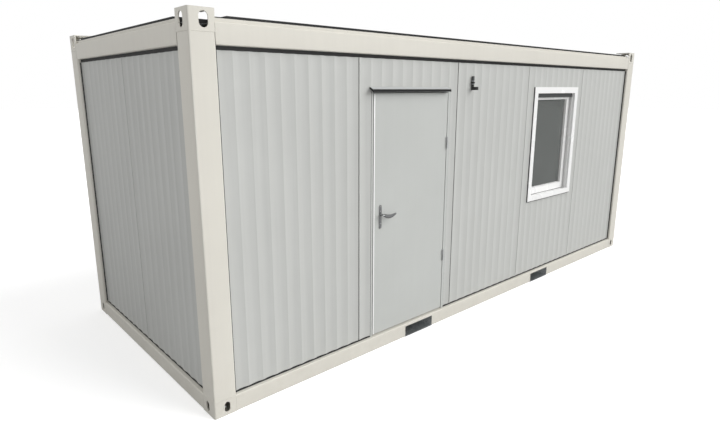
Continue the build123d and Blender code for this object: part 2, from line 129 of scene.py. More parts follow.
def make_coating_grain():
    """Fine orange-peel of sprayed or coil-coated paint, with broad uneven tone."""
    net = effect("coating_grain", [("Grain Size", 0.002), ("Patch Size", 0.6)], ["Height", "Tone"])
    inlet = net.add("NodeGroupInput")
    place = net.add("ShaderNodeTexCoord").outputs["Object"]
    grain_scale = net.math("DIVIDE", 1.0, inlet.outputs["Grain Size"])
    patch_scale = net.math("DIVIDE", 1.0, inlet.outputs["Patch Size"])
    grain = net.add("ShaderNodeTexNoise", {"Vector": place, "Scale": grain_scale, "Detail": 2.0})
    patch = net.add("ShaderNodeTexNoise", {"Vector": place, "Scale": patch_scale, "Detail": 4.0,
                                           "Roughness": 0.6})
    net.add("NodeGroupOutput", {"Height": grain.outputs["Fac"], "Tone": patch.outputs["Fac"]})
    return net.tree


def make_rain_streaks():
    """Tall soft marks that water leaves as it runs down a wall."""
    net = effect("rain_streaks", [("Streak Width", 0.03), ("Streak Length", 1.2)], ["Mask"])
    inlet = net.add("NodeGroupInput")
    place = net.add("ShaderNodeTexCoord").outputs["Object"]
    axes = net.add("ShaderNodeSeparateXYZ", {"Vector": place})
    across = net.math("DIVIDE", net.math("ADD", axes.outputs["X"], axes.outputs["Y"]),
                      inlet.outputs["Streak Width"])
    down = net.math("DIVIDE", axes.outputs["Z"], inlet.outputs["Streak Length"])
    point = net.add("ShaderNodeCombineXYZ", {"X": across, "Z": down})
    noise = net.add("ShaderNodeTexNoise", {"Vector": point.outputs["Vector"], "Scale": 1.0,
                                           "Detail": 3.0, "Roughness": 0.55})
    net.add("NodeGroupOutput", {"Mask": net.spread(noise.outputs["Fac"], 0.42, 0.72)})
    return net.tree


def make_road_splash():
    """Dust and dried splashes that fade out above the ground."""
    net = effect("road_splash", [("Reach", 0.5)], ["Mask"])
    inlet = net.add("NodeGroupInput")
    place = net.add("ShaderNodeTexCoord").outputs["Object"]
    height = net.add("ShaderNodeSeparateXYZ", {"Vector": place}).outputs["Z"]
    fade = net.math("SUBTRACT", 1.0, net.math("DIVIDE", height, inlet.outputs["Reach"]), clamp=True)
    specks = net.add("ShaderNodeTexNoise", {"Vector": place, "Scale": 14.0, "Detail": 6.0,
                                            "Roughness": 0.7})
    patchy = net.spread(specks.outputs["Fac"], 0.35, 0.75)
    net.add("NodeGroupOutput", {"Mask": net.math("MULTIPLY", fade, patchy)})
    return net.tree


COATING_GRAIN = make_coating_grain()
RAIN_STREAKS = make_rain_streaks()
ROAD_SPLASH = make_road_splash()


def new_finish(name, **shader_values):
    """A material with a Principled shader, and the tree to build it in."""
    finish = bpy.data.materials.new(name)
    finish.use_nodes = True
    net = Tree(finish.node_tree)
    shader = finish.node_tree.nodes["Principled BSDF"]
    for label, value in shader_values.items():
        shader.inputs[label.replace("_", " ")].default_value = value
    return finish, net, shader


def placed_effect(net, group, **values):
    """One of the shared effects, with this finish's own sizes."""
    node = net.add("ShaderNodeGroup", node_tree=group)
    for label, value in values.items():
        node.inputs[label.replace("_", " ")].default_value = value
    return node


def painted_sheet(name, tint, roughness, streaks, splash, grain_size=0.002, grain_depth=0.00006):
    """Coated steel: even colour, fine orange-peel, faint streaks and a dusty foot."""
    finish, net, shader = new_finish(name)
    shader.inputs["Specular IOR Level"].default_value = 0.3
    grain = placed_effect(net, COATING_GRAIN, Grain_Size=grain_size, Patch_Size=0.7)
    streak = placed_effect(net, RAIN_STREAKS, Streak_Width=0.035, Streak_Length=1.4)
    foot = placed_effect(net, ROAD_SPLASH, Reach=0.45)
    tone = net.spread(grain.outputs["Tone"], 0.3, 0.7, 0.975, 1.025)
    base = net.add("ShaderNodeHueSaturation", {"Value": tone, "Color": tint}).outputs["Color"]
    marks = net.math("MULTIPLY", streak.outputs["Mask"], streaks)
    dulled = net.blend(marks, base, tuple(v * 0.8 for v in tint[:3]) + (1.0,))
    dusty = net.blend(net.math("MULTIPLY", foot.outputs["Mask"], splash), dulled, colour(158, 150, 136))
    net.feed(shader.inputs["Base Color"], dusty)
    rough = net.spread(grain.outputs["Tone"], 0.3, 0.7, roughness - 0.04, roughness + 0.04)
    net.feed(shader.inputs["Roughness"], net.math("ADD", rough, net.math("MULTIPLY", marks, 0.3)))
    bump = net.add("ShaderNodeBump", {"Height": grain.outputs["Height"], "Distance": grain_depth,
                                      "Strength": 0.6})
    net.feed(shader.inputs["Normal"], bump.outputs["Normal"])
    return finish


def moulded(name, tint, roughness, grain_size=0.001, grain_depth=0.00003, patch_size=0.15):
    """Rubber, plastic or board: slight mottling and a fine skin."""
    finish, net, shader = new_finish(name)
    grain = placed_effect(net, COATING_GRAIN, Grain_Size=grain_size, Patch_Size=patch_size)
    tone = net.spread(grain.outputs["Tone"], 0.3, 0.7, 0.98, 1.02)
    base = net.add("ShaderNodeHueSaturation", {"Value": tone, "Color": tint})
    net.feed(shader.inputs["Base Color"], base.outputs["Color"])
    net.feed(shader.inputs["Roughness"], net.spread(grain.outputs["Tone"], 0.3, 0.7,
                                                    roughness - 0.05, roughness + 0.05))
    bump = net.add("ShaderNodeBump", {"Height": grain.outputs["Height"], "Distance": grain_depth,
                                      "Strength": 0.5})
    net.feed(shader.inputs["Normal"], bump.outputs["Normal"])
    return finish


def make_underside_painted_shade():
    """Painted shade: darkens a piece where it faces down, as if it stood in its own shadow."""
    net = effect("underside_painted_shade", [("Start", 0.1), ("End", 0.7)], ["Mask"])
    inlet = net.add("NodeGroupInput")
    facing = net.add("ShaderNodeNewGeometry").outputs["Normal"]
    down = net.math("MULTIPLY", net.add("ShaderNodeSeparateXYZ", {"Vector": facing}).outputs["Z"], -1.0)
    net.add("NodeGroupOutput", {"Mask": net.spread(down, inlet.outputs["Start"], inlet.outputs["End"])})
    return net.tree


UNDERSIDE_PAINTED_SHADE = make_underside_painted_shade()


def brushed_metal(name, tint, roughness, brush=0.0006, underside_shade_strength=0.0):
    """Bare metal with fine upright brush marks, and painted shade where it faces down."""
    finish, net, shader = new_finish(name, Metallic=1.0)
    place = net.add("ShaderNodeTexCoord").outputs["Object"]
    stretch = net.add("ShaderNodeMapping", {"Vector": place, "Scale": (1.0, 1.0, 0.06)})
    noise = net.add("ShaderNodeTexNoise", {"Vector": stretch.outputs["Vector"], "Scale": 1 / brush,
                                           "Detail": 3.0})
    tone = net.spread(noise.outputs["Fac"], 0.3, 0.7, 0.88, 1.06)
    base = net.add("ShaderNodeHueSaturation", {"Value": tone, "Color": tint})
    # painted shade: the colour turns near black where the surface faces down
    downward_shade = net.math("MULTIPLY", placed_effect(net, UNDERSIDE_PAINTED_SHADE).outputs["Mask"], underside_shade_strength)
    net.feed(shader.inputs["Base Color"], net.blend(downward_shade, base.outputs["Color"], colour(28, 28, 28)))
    net.feed(shader.inputs["Roughness"], net.spread(noise.outputs["Fac"], 0.3, 0.7,
                                                    roughness - 0.06, roughness + 0.08))
    return finish


def galvanised_sheet():
    """Zinc spangle: faceted cells of slightly different grey and gloss."""
    finish, net, shader = new_finish("galvanised_sheet", Metallic=0.85)
    place = net.add("ShaderNodeTexCoord").outputs["Object"]
    cells = net.add("ShaderNodeTexVoronoi", {"Vector": place, "Scale": 90.0})
    grey = net.add("ShaderNodeSeparateColor", {"Color": cells.outputs["Color"]}).outputs["Red"]
    base = net.blend(grey, colour(150, 154, 156), colour(186, 189, 190))
    net.feed(shader.inputs["Base Color"], base)
    net.feed(shader.inputs["Roughness"], net.spread(grey, 0.0, 1.0, 0.48, 0.62))
    return finish


def window_pane():
    """Double glazing, part clear and part a diffuse grey that is painted to stand in for the dim room seen
    through it.
    """
    finish, net, shader = new_finish("window_pane", Transmission_Weight=0.6, IOR=1.45, Roughness=0.04)
    place = net.add("ShaderNodeTexCoord").outputs["Object"]
    painted_view_tone = net.add("ShaderNodeTexNoise", {"Vector": place, "Scale": 3.0, "Detail": 4.0})
    # painted view: the diffuse grey of the pane stands in for the dim room behind the glass
    net.feed(shader.inputs["Base Color"], net.blend(painted_view_tone.outputs["Fac"], colour(116, 120, 117),
                                                    colour(132, 136, 133)))
    return finish


FINISHES = {
    "frame_paint": painted_sheet("frame_paint", colour(204, 201, 192), 0.36, 0.08, 0.16),
    "wall_paint": painted_sheet("wall_paint", colour(181, 182, 179), 0.42, 0.20, 0.10),
    "door_paint": painted_sheet("door_paint", colour(179, 181, 178), 0.40, 0.05, 0.06),
    "galvanised_sheet": galvanised_sheet(),
    "floor_covering": moulded("floor_covering", colour(120, 122, 122), 0.5, patch_size=0.02),
    "ceiling_white": moulded("ceiling_white", colour(226, 226, 222), 0.6, patch_size=0.5),
    "seal_rubber": moulded("seal_rubber", colour(30, 30, 30), 0.7),
    "threshold_metal": brushed_metal("threshold_metal", colour(196, 197, 198), 0.35),
    "hinge_steel": painted_sheet("hinge_paint", colour(172, 174, 174), 0.40, 0.0, 0.0, 0.001),
    # the handle gets strong painted shade on its downward faces
    "handle_metal": brushed_metal("handle_metal", colour(158, 159, 160), 0.30, underside_shade_strength=0.9),
    "black_trim": moulded("black_trim", colour(14, 14, 14), 0.55),
    "window_white": moulded("window_white", colour(230, 230, 229), 0.26, patch_size=0.6),
    "window_glass": window_pane(),
    "shutter_grey": moulded("shutter_grey", colour(64, 66, 66), 0.5),
}


def make_cad_softener():
    """Joins the loose triangles of a CAD mesh and shades its curves smooth."""
    tree = bpy.data.node_groups.new("soften_cad_mesh", "GeometryNodeTree")
    tree.interface.new_socket("Mesh", in_out="INPUT", socket_type="NodeSocketGeometry")
    turn = tree.interface.new_socket("Sharp Angle", in_out="INPUT", socket_type="NodeSocketFloat")
    turn.default_value = math.radians(13)
    tree.interface.new_socket("Mesh", in_out="OUTPUT", socket_type="NodeSocketGeometry")
    net = Tree(tree)
    inlet = net.add("NodeGroupInput")
    joined = net.add("GeometryNodeMergeByDistance", {"Geometry": inlet.outputs["Mesh"],
                                                     "Distance": 0.00002})
    smooth = net.add("GeometryNodeSetShadeSmooth", {"Geometry": joined.outputs["Geometry"]})
    angle = net.add("GeometryNodeInputMeshEdgeAngle")
    flat = net.add("FunctionNodeCompare", data_type="FLOAT", operation="LESS_THAN")
    net.feed(flat.inputs[0], angle.outputs["Unsigned Angle"])
    net.feed(flat.inputs[1], inlet.outputs["Sharp Angle"])
    edges = net.add("GeometryNodeSetShadeSmooth", {"Geometry": smooth.outputs["Geometry"],
                                                   "Shade Smooth": flat.outputs["Result"]},
                    domain="EDGE")
    net.add("NodeGroupOutput", {"Mesh": edges.outputs["Geometry"]})
    return tree


# Rounding of the sharp CAD edges that catch the light, in millimetres
EDGE_ROUNDING = {"door_leaf": 8.0, "door_frame": 1.2, "window_frame": 2.5, "window_sash": 2.0,
                 "shutter_bar": 2.0, "door_catch": 1.5, "roof_edge_strip": 2.0, "door_threshold": 1.0}


def dress_cad_nodes():
    """Give every CAD node the finish that the record names for it."""
    softener = make_cad_softener()
    for entry in frame["record"]["subparts"]:
        piece = nodes[entry["node"]]
        piece.data.materials.clear()
        piece.data.materials.append(FINISHES[entry["material_slot"]])
        if entry["node"] in EDGE_ROUNDING:
            joined = piece.modifiers.new("join", "WELD")
            joined.merge_threshold = 0.00002
            flattened = piece.modifiers.new("flatten", "DECIMATE")
            flattened.decimate_type = "DISSOLVE"
            flattened.angle_limit = math.radians(0.5)
            rounded = piece.modifiers.new("round_edges", "BEVEL")
            rounded.width = EDGE_ROUNDING[entry["node"]] * MM
            rounded.segments = 3
            rounded.limit_method = "ANGLE"
            rounded.angle_limit = math.radians(40)
        soften = piece.modifiers.new("soften", "NODES")
        soften.node_group = softener


def finished(name, shape, body, slot, smooth_angle=40.0):
    """A piece from a bmesh: outward faces, smooth curves, a finish and its body."""
    bmesh.ops.remove_doubles(shape, verts=shape.verts, dist=0.000005)
    bmesh.ops.recalc_face_normals(shape, faces=shape.faces)
    limit = math.radians(smooth_angle)
    for face in shape.faces:
        face.smooth = True
    for edge in shape.edges:
        edge.smooth = edge.is_manifold and edge.calc_face_angle(0.0) < limit
    mesh = bpy.data.meshes.new(name)
    shape.to_mesh(mesh)
    shape.free()
    return settled(name, mesh, body, slot)


def settled(name, mesh, body, slot):
    """Put a mesh in the scene, with its finish and the body that it rides on."""
    mesh.materials.clear()
    mesh.materials.append(FINISHES[slot])
    piece = bpy.data.objects.new(name, mesh)
    bpy.context.scene.collection.objects.link(piece)
    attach(piece, body)
    return piece


def add_bar(shape, low, high, edge=0.0):
    """A bar between two corners, with its edges cut back by the given width."""
    low, high = Vector(low), Vector(high)
    made = bmesh.ops.create_cube(shape, size=1.0)["verts"]
    size = high - low
    for vert in made:
        vert.co = Vector(tuple(low[i] + (vert.co[i] + 0.5) * size[i] for i in range(3)))
    if edge:
        edges = list({e for v in made for e in v.link_edges})
        bmesh.ops.bevel(shape, geom=edges, offset=edge, segments=2, profile=0.6, affect="EDGES")


def add_turned(shape, outline, sides, place, facing):
    """A solid turned about an axis, from (radius, distance along the axis) points."""
    turn = facing.to_track_quat("Z", "Y").to_matrix().to_4x4()
    stand = Matrix.Translation(place) @ turn
    rings = []
    for radius, along in outline:
        if radius < 1e-7:
            rings.append([shape.verts.new(stand @ Vector((0, 0, along)))])
            continue
        rings.append([shape.verts.new(stand @ Vector((radius * math.cos(2 * math.pi * i / sides),
                                                      radius * math.sin(2 * math.pi * i / sides), along)))
                      for i in range(sides)])
    for a, b in zip(rings, rings[1:]):
        for i in range(sides):
            j = (i + 1) % sides
            corner = [a[i % len(a)], a[j % len(a)], b[j % len(b)], b[i % len(b)]]
            corner = list(dict.fromkeys(corner))
            if len(corner) > 2:
                shape.faces.new(corner)


def template(name, outline, sides):
    """A small turned shape that Geometry Nodes repeats; it never shows itself."""
    shape = bmesh.new()
    add_turned(shape, outline, sides, Vector(), UP)
    bmesh.ops.recalc_face_normals(shape, faces=shape.faces)
    for face in shape.faces:
        face.smooth = True
    for edge in shape.edges:
        edge.smooth = edge.calc_face_angle(0.0) < math.radians(40)
    mesh = bpy.data.meshes.new(name)
    shape.to_mesh(mesh)
    shape.free()
    return bpy.data.objects.new(name, mesh)


def make_repeater():
    """Sets one shape on every point, facing one way, each turned by chance."""
    tree = bpy.data.node_groups.new("repeat_on_points", "GeometryNodeTree")
    for label, kind in (("Points", "Geometry"), ("Shape", "Object"), ("Facing", "Vector"),
                        ("Largest Spin", "Float"), ("Seed", "Int"), ("Finish", "Material")):
        tree.interface.new_socket(label, in_out="INPUT", socket_type="NodeSocket" + kind)
    tree.interface.new_socket("Mesh", in_out="OUTPUT", socket_type="NodeSocketGeometry")
    net = Tree(tree)
    inlet = net.add("NodeGroupInput").outputs
    shape = net.add("GeometryNodeObjectInfo", {"Object": inlet["Shape"]})
    aligned = net.add("FunctionNodeAlignRotationToVector", {"Vector": inlet["Facing"]}, axis="Z")
    chance = net.add("FunctionNodeRandomValue", data_type="FLOAT")
    net.feed(chance.inputs[2], 0.0)
    net.feed(chance.inputs[3], inlet["Largest Spin"])
    net.feed(chance.inputs["Seed"], inlet["Seed"])
    spin = net.add("ShaderNodeCombineXYZ", {"Z": chance.outputs[1]})
    turned = net.add("FunctionNodeRotateRotation", {"Rotation": aligned.outputs["Rotation"],
                                                    "Rotate By": spin.outputs["Vector"]},
                     rotation_space="LOCAL")
    copies = net.add("GeometryNodeInstanceOnPoints", {"Points": inlet["Points"],
                                                      "Instance": shape.outputs["Geometry"],
                                                      "Rotation": turned.outputs["Rotation"]})
    real = net.add("GeometryNodeRealizeInstances", {"Geometry": copies.outputs["Instances"]})
    coated = net.add("GeometryNodeSetMaterial", {"Geometry": real.outputs["Geometry"],
                                                 "Material": inlet["Finish"]})
    net.add("NodeGroupOutput", {"Mesh": coated.outputs["Geometry"]})
    return tree


REPEATER = make_repeater()


def repeat(name, shape, points, facing, body, slot, seed=1, spin=math.pi):
    """The same small shape at each point, made one plain mesh."""
    mesh = bpy.data.meshes.new(name + "_points")
    mesh.from_pydata([tuple(p) for p in points], [], [])
    holder = bpy.data.objects.new(name + "_points", mesh)
    bpy.context.scene.collection.objects.link(holder)
    modifier = holder.modifiers.new("repeat", "NODES")
    modifier.node_group = REPEATER
    inputs = {item.name: item.identifier for item in REPEATER.interface.items_tree
              if item.item_type == "SOCKET" and item.in_out == "INPUT"}
    modifier[inputs["Shape"]] = shape
    modifier[inputs["Facing"]] = tuple(facing)
    modifier[inputs["Largest Spin"]] = spin
    modifier[inputs["Seed"]] = seed
    modifier[inputs["Finish"]] = FINISHES[slot]
    bpy.context.view_layer.update()
    result = bpy.data.meshes.new_from_object(holder.evaluated_get(bpy.context.evaluated_depsgraph_get()))
    holder.modifiers.remove(modifier)
    bpy.data.objects.remove(holder)
    return settled(name, result, body, slot)


def between(start, end, count):
    """Evenly spaced values from start to end."""
    return [start + (end - start) * i / (count - 1) for i in range(count)]


def row(start, end, pitch):
    """Points along a line at about the given pitch, both ends included."""
    start, end = Vector(start), Vector(end)
    count = max(2, round((end - start).length / pitch) + 1)
    return [start.lerp(end, t) for t in between(0.0, 1.0, count)]


SCREW_HEAD = template("screw_head", [(0.0, 0.0003), (0.0011, 0.0003), (0.0015, 0.0013), (0.0030, 0.0011),
                                     (0.0037, 0.0004), (0.0038, -0.0006), (0.0, -0.0006)], 12)
RIVET_HEAD = template("rivet_head", [(0.0, 0.0007), (0.0008, 0.0008), (0.0010, 0.0013), (0.0028, 0.0009),
                                     (0.0034, 0.0), (0.0034, -0.0005), (0.0, -0.0005)], 12)
WELD_RIPPLE = template("weld_ripple", [(0.0, 0.0016), (0.0018, 0.0013), (0.0032, 0.0004),
                                       (0.0036, -0.0008), (0.0, -0.0008)], 8)


# Lever handle, in metres
LEVER_LENGTH = 0.128
LEVER_SAG = 0.016
LEVER_TIP_DROP = 0.004
LEVER_WIDTH = 0.016
LEVER_ROOT_HALF = 0.011
LEVER_PLATE_GAP = 0.0003
LEVER_SIDES = 28
LEVER_RINGS = 36
LEVER_CAP_RINGS = 5
plates_low, plates_high = box_of("lock_plates")
lever_low, lever_high = box_of("lever_handle")
leaf_low, leaf_high = box_of("door_leaf")
LOCK_GAP = 0.008
SPINDLE = Vector(((plates_low.x + plates_high.x) / 2, 0.0, lever_high.z - LEVER_ROOT_HALF))


def add_lever(shape, back_y, front_y, toward):
    """A crescent grip of rounded section on a round neck."""
    middle_y = front_y - toward * LEVER_WIDTH / 2
    sides, rings, caps = LEVER_SIDES, LEVER_RINGS, LEVER_CAP_RINGS
    loops = []
    for step in range(-caps, rings + caps + 1):
        t = min(max(step / rings, 0.0), 1.0)
        centre = Vector((SPINDLE.x + LEVER_LENGTH * t, middle_y, SPINDLE.z - 4 * LEVER_SAG * t * (1 - t)
                         - LEVER_TIP_DROP * t))
        slope = math.atan2(-4 * LEVER_SAG * (1 - 2 * t) - LEVER_TIP_DROP, LEVER_LENGTH)
        half = LEVER_ROOT_HALF + 0.020 * t - 0.024 * t ** 2
        depth = LEVER_WIDTH / 2 * (1.0 if t < 0.6 else 1.0 - 0.25 * (t - 0.6) / 0.4)
        cap = 0.0
        if step < 0:
            cap = math.sin(math.pi / 2 * (-step) / caps)
        elif step > rings:
            cap = math.sin(math.pi / 2 * (step - rings) / caps)
        shrink = math.sqrt(max(0.0, 1.0 - cap ** 2))
        reach = half * cap * (-1 if step < 0 else 1)
        along = Vector((math.cos(slope), 0.0, math.sin(slope)))
        across = Vector((-math.sin(slope), 0.0, math.cos(slope)))
        loop = []
        for i in range(sides):
            angle = 2 * math.pi * i / sides
            c, s = math.cos(angle), math.sin(angle)
            u = math.copysign(abs(c) ** 0.8, c) * half * shrink
            v = math.copysign(abs(s) ** 0.8, s) * depth * max(shrink, 0.02)
            loop.append(shape.verts.new(centre + along * reach + across * u + Vector((0.0, v, 0.0))))
        loops.append(loop)
    for a, b in zip(loops, loops[1:]):
        for i in range(sides):
            j = (i + 1) % sides
            shape.faces.new((a[i], a[j], b[j], b[i]))
    shape.faces.new(loops[0])
    shape.faces.new(loops[-1][::-1])
    neck_length = abs(back_y - middle_y)
    neck = [(0.0, 0.0), (0.0105, 0.0), (0.0108, 0.0012), (0.0092, 0.0035), (0.0082, 0.010),
            (0.0082, neck_length - 0.004), (0.0092, neck_length), (0.0, neck_length)]
    add_turned(shape, neck, 32, Vector((SPINDLE.x, back_y, SPINDLE.z)), Vector((0.0, toward, 0.0)))


def make_levers():
    """Outer and inner lever; each neck stops just short of its lock plate."""
    shape = bmesh.new()
    add_lever(shape, plates_low.y - LEVER_PLATE_GAP, lever_low.y, -1.0)
    add_lever(shape, plates_high.y + LEVER_PLATE_GAP, lever_high.y, 1.0)
    piece = finished("lever_pair", shape, "lever", "handle_metal", 50)
    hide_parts("lever_handle")


FRAME_LOW = box_of("bottom_corner_fittings")[0]
FRAME_HIGH = box_of("top_corner_fittings")[1]
LENGTH = (FRAME_HIGH.x - FRAME_LOW.x) / MM
WIDTH = (FRAME_HIGH.y - FRAME_LOW.y) / MM
RUNS = {"front": LENGTH, "back": LENGTH, "left": WIDTH, "right": WIDTH}
FACING = {"front": FRONT, "back": BACK, "left": LEFT, "right": RIGHT}

# Places on the frame, in millimetres along a side or above its foot
POST_WIDTH = 165
PANEL_FOOT, PANEL_HEAD = 135, 2361
FRONT_JOINTS = (1295, 2455, 3600, 4745)
BACK_PANELS = 5
FLOOR_RAIL_TOP = 120
TOP_FITTING_FOOT = 2460
ROOF_RAIL_WELD = (2398, 2508)
FORK_MIDDLES = (LENGTH / 2 - 1027.5, LENGTH / 2 + 1027.5)
FORK_HALF_WIDTH = 179.5
FORK_FOOT, FORK_HEAD = 3, 100
WELD_PITCH = 0.0042


def on_side(side, along, depth, height):
    """A place on one side of the frame: millimetres along it, into it and up."""
    if side in ("front", "back"):
        edge, inward = (FRAME_LOW.y, 1) if side == "front" else (FRAME_HIGH.y, -1)
        return Vector((FRAME_LOW.x + along * MM, edge + inward * depth * MM, height * MM))
    edge, inward = (FRAME_LOW.x, 1) if side == "left" else (FRAME_HIGH.x, -1)
    return Vector((edge + inward * depth * MM, FRAME_LOW.y + along * MM, height * MM))


def height_of(node, end):
    """Height of a CAD node's foot (0) or head (1), in millimetres."""
    return box_of(node)[end].z / MM


def bar_on(side, along, depth, height):
    """Corners of a bar on one side of the frame, from three pairs of millimetres."""
    a, b = (on_side(side, along[i], depth[i], height[i]) for i in (0, 1))
    return (Vector(map(min, a, b)), Vector(map(max, a, b)))


def bars(name, body, slot, corners, edge=0.0):
    """One piece made of separate bars, with edges rounded by so many millimetres."""
    shape = bmesh.new()
    for low, high in corners:
        add_bar(shape, low, high, edge * MM)
    return finished(name, shape, body, slot, 35)


def ring_bars(side, along, height, width, depth):
    """Four bars that run round the inside of a rectangle on one side."""
    (a0, a1), (z0, z1) = along, height
    return [bar_on(side, (a0, a0 + width), depth, (z0, z1)), bar_on(side, (a1 - width, a1), depth, (z0, z1)),
            bar_on(side, (a0 + width, a1 - width), depth, (z0, z0 + width)),
            bar_on(side, (a0 + width, a1 - width), depth, (z1 - width, z1))]


def make_wall_trim():
    """Upright seals beside the posts and the beads in the panel joints."""
    upright = (PANEL_FOOT, PANEL_HEAD)
    seals = [bar_on(side, along, (18.5, 28.0), upright) for side, run in RUNS.items()
             for along in ((165.2, 174.5), (run - 174.5, run - 165.2))]
    bars("side_seals", "cabin", "seal_rubber", seals, 1.2)
    joints = [("front", along) for along in FRONT_JOINTS]
    joints += [("back", POST_WIDTH + i * (LENGTH - 2 * POST_WIDTH) / BACK_PANELS)
               for i in range(1, BACK_PANELS)]
    joints += [(side, WIDTH / 2) for side in ("left", "right")]
    beads = [bar_on(side, (a - 3.0, a + 3.0), (29.5, 33.0), upright) for side, a in joints]
    bars("joint_beads", "cabin", "seal_rubber", beads, 0.8)


def weld(side, start, end):
    """Ripples of one weld bead, between two (along, height) places on a side."""
    (a, low), (b, high) = start, end
    return row(on_side(side, a, 0, low), on_side(side, b, 0, high), WELD_PITCH)


def make_welds():
    """Weld beads where posts, rails and fork pockets meet on each side."""
    for side, run in RUNS.items():
        points = []
        for start, end in ((15, 160), (run - 160, run - 15)):
            for height in (FLOOR_RAIL_TOP, TOP_FITTING_FOOT):
                points += weld(side, (start, height), (end, height))
        for along in (POST_WIDTH, run - POST_WIDTH):
            points += weld(side, (along, 10), (along, 112))
            points += weld(side, (along, ROOF_RAIL_WELD[0]), (along, ROOF_RAIL_WELD[1]))
        if side in ("front", "back"):
            for middle in FORK_MIDDLES:
                left, right = middle - FORK_HALF_WIDTH, middle + FORK_HALF_WIDTH
                corners = [(left, FORK_FOOT), (left, FORK_HEAD), (right, FORK_HEAD), (right, FORK_FOOT)]
                for start, end in zip(corners, corners[1:]):
                    points += weld(side, start, end)
        repeat("welds_" + side, WELD_RIPPLE, points, FACING[side], "cabin", "frame_paint", 3)


def make_door_gasket():
    """Rubber gasket on the stops of the door frame."""
    back = leaf_high.y + 0.005
    front, foot, width = back - 0.004, 0.142, 0.012
    left, right, head = leaf_low.x - LOCK_GAP, leaf_high.x + 0.005, leaf_high.z + 0.005
    gasket = [((left, front, foot), (left + width, back, head)),
              ((right - width, front, foot), (right, back, head)),
              ((left + width, front, head - width), (right - width, back, head))]
    bars("door_gasket", "cabin", "seal_rubber", gasket, 1.5)


def make_lock_edge():
    """White strip painted as the highlight on the leaf's lock edge, face plate and bolts on the leaf, with
    the strike plate across the gap.
    """
    # painted highlight: a white strip along the leaf's edge stands in for the light its bent edge catches
    bars("leaf_edge_strip", "door", "window_white",
         [((leaf_low.x + 0.0005, leaf_low.y - 0.0012, leaf_low.z + 0.004),
           (leaf_low.x + 0.0125, leaf_low.y + 0.0030, leaf_high.z - 0.004))], 0.8)
    left, middle = leaf_low.x - LOCK_GAP, (leaf_low.y + leaf_high.y) / 2
    low, high = SPINDLE.z - 0.165, SPINDLE.z + 0.075
    latch, bolt = (SPINDLE.z - 0.012, SPINDLE.z + 0.012), (SPINDLE.z - 0.095, SPINDLE.z - 0.065)
    bars("lock_face_plate", "door", "threshold_metal",
         [((leaf_low.x - 0.0012, middle - 0.010, low), (leaf_low.x + 0.001, middle + 0.010, high))], 0.5)
    bars("lock_bolts", "door", "handle_metal",
         [((leaf_low.x - 0.0022, middle - 0.006, latch[0]), (leaf_low.x, middle + 0.006, latch[1])),
          ((leaf_low.x - 0.0020, middle - 0.005, bolt[0]), (leaf_low.x, middle + 0.005, bolt[1]))],
         0.4)
    bars("strike_plate", "cabin", "threshold_metal",
         [((left - 0.001, middle - 0.013, low + 0.02), (left + 0.0012, middle + 0.013, high - 0.02))], 0.5)
    # painted shade: black bars stand in for the shade inside the latch and bolt holes
    bars("strike_holes", "cabin", "black_trim",
         [((left, middle - 0.007, SPINDLE.z - 0.014), (left + 0.0015, middle + 0.007, SPINDLE.z + 0.014)),
          ((left, middle - 0.006, SPINDLE.z - 0.098), (left + 0.0015, middle + 0.006, SPINDLE.z - 0.062))])
    repeat("lock_face_screws", SCREW_HEAD,
           [(leaf_low.x - 0.0012, middle, z) for z in (low + 0.010, high - 0.010)], LEFT,
           "door", "threshold_metal")
    repeat("strike_screws", SCREW_HEAD,
           [(left + 0.0012, middle, z) for z in (low + 0.03, high - 0.03)], RIGHT,
           "cabin", "threshold_metal")


def make_threshold_trim():
    """Tread ribs and a row of screws on the threshold."""
    low, high = box_of("door_threshold")
    middle = (low.y + high.y) / 2
    ribs = [y for y in between(low.y + 0.004, high.y - 0.004, 6) if abs(y - middle) > 0.004]
    bars("threshold_ribs", "cabin", "threshold_metal",
         [((low.x + 0.004, y - 0.0012, high.z - 0.001), (high.x - 0.004, y + 0.0012, high.z + 0.0012))
          for y in ribs], 0.5)
    repeat("threshold_screws", SCREW_HEAD,
           row((low.x + 0.04, middle, high.z), (high.x - 0.04, middle, high.z), 0.26), UP,
           "cabin", "threshold_metal")


def make_drip_rail_cover():
    """Light cover on the slope of the drip rail, and the sealant along its top."""
    low, high = box_of("drip_rail")
    shape = bmesh.new()
    section = [(high.y, high.z + 0.0025), (low.y + 0.0060, high.z - 0.0140),
               (low.y + 0.0060, high.z - 0.0160), (high.y, high.z - 0.0010)]
    ends = [[shape.verts.new((x, y, z)) for y, z in section] for x in (low.x + 0.004, high.x - 0.004)]
    shape.faces.new(ends[0])
    shape.faces.new(ends[1][::-1])
    for i in range(4):
        shape.faces.new((ends[0][i - 1], ends[0][i], ends[1][i], ends[1][i - 1]))
    finished("drip_rail_cover", shape, "cabin", "hinge_steel", 30)
    bars("drip_rail_sealant", "cabin", "wall_paint",
         [((low.x, high.y - 0.005, high.z - 0.001), (high.x, high.y + 0.003, high.z + 0.005))], 2.0)


def make_door_frame_joint():
    """Thin dark joint between the door frame and the wall panels."""
    low, high = box_of("door_frame")
    left, right = ((x - FRAME_LOW.x) / MM for x in (low.x, high.x))
    depth, head = (25.2, 30.0), high.z / MM
    bars("door_frame_joint", "cabin", "seal_rubber",
         [bar_on("front", (left - 1.6, left + 1), depth, (PANEL_FOOT, head + 1.6)),
          bar_on("front", (right - 1, right + 1.8), depth, (PANEL_FOOT, head + 1.6)),
          bar_on("front", (left + 1, right - 1), depth, (head - 1, head + 1.6))], 0.4)


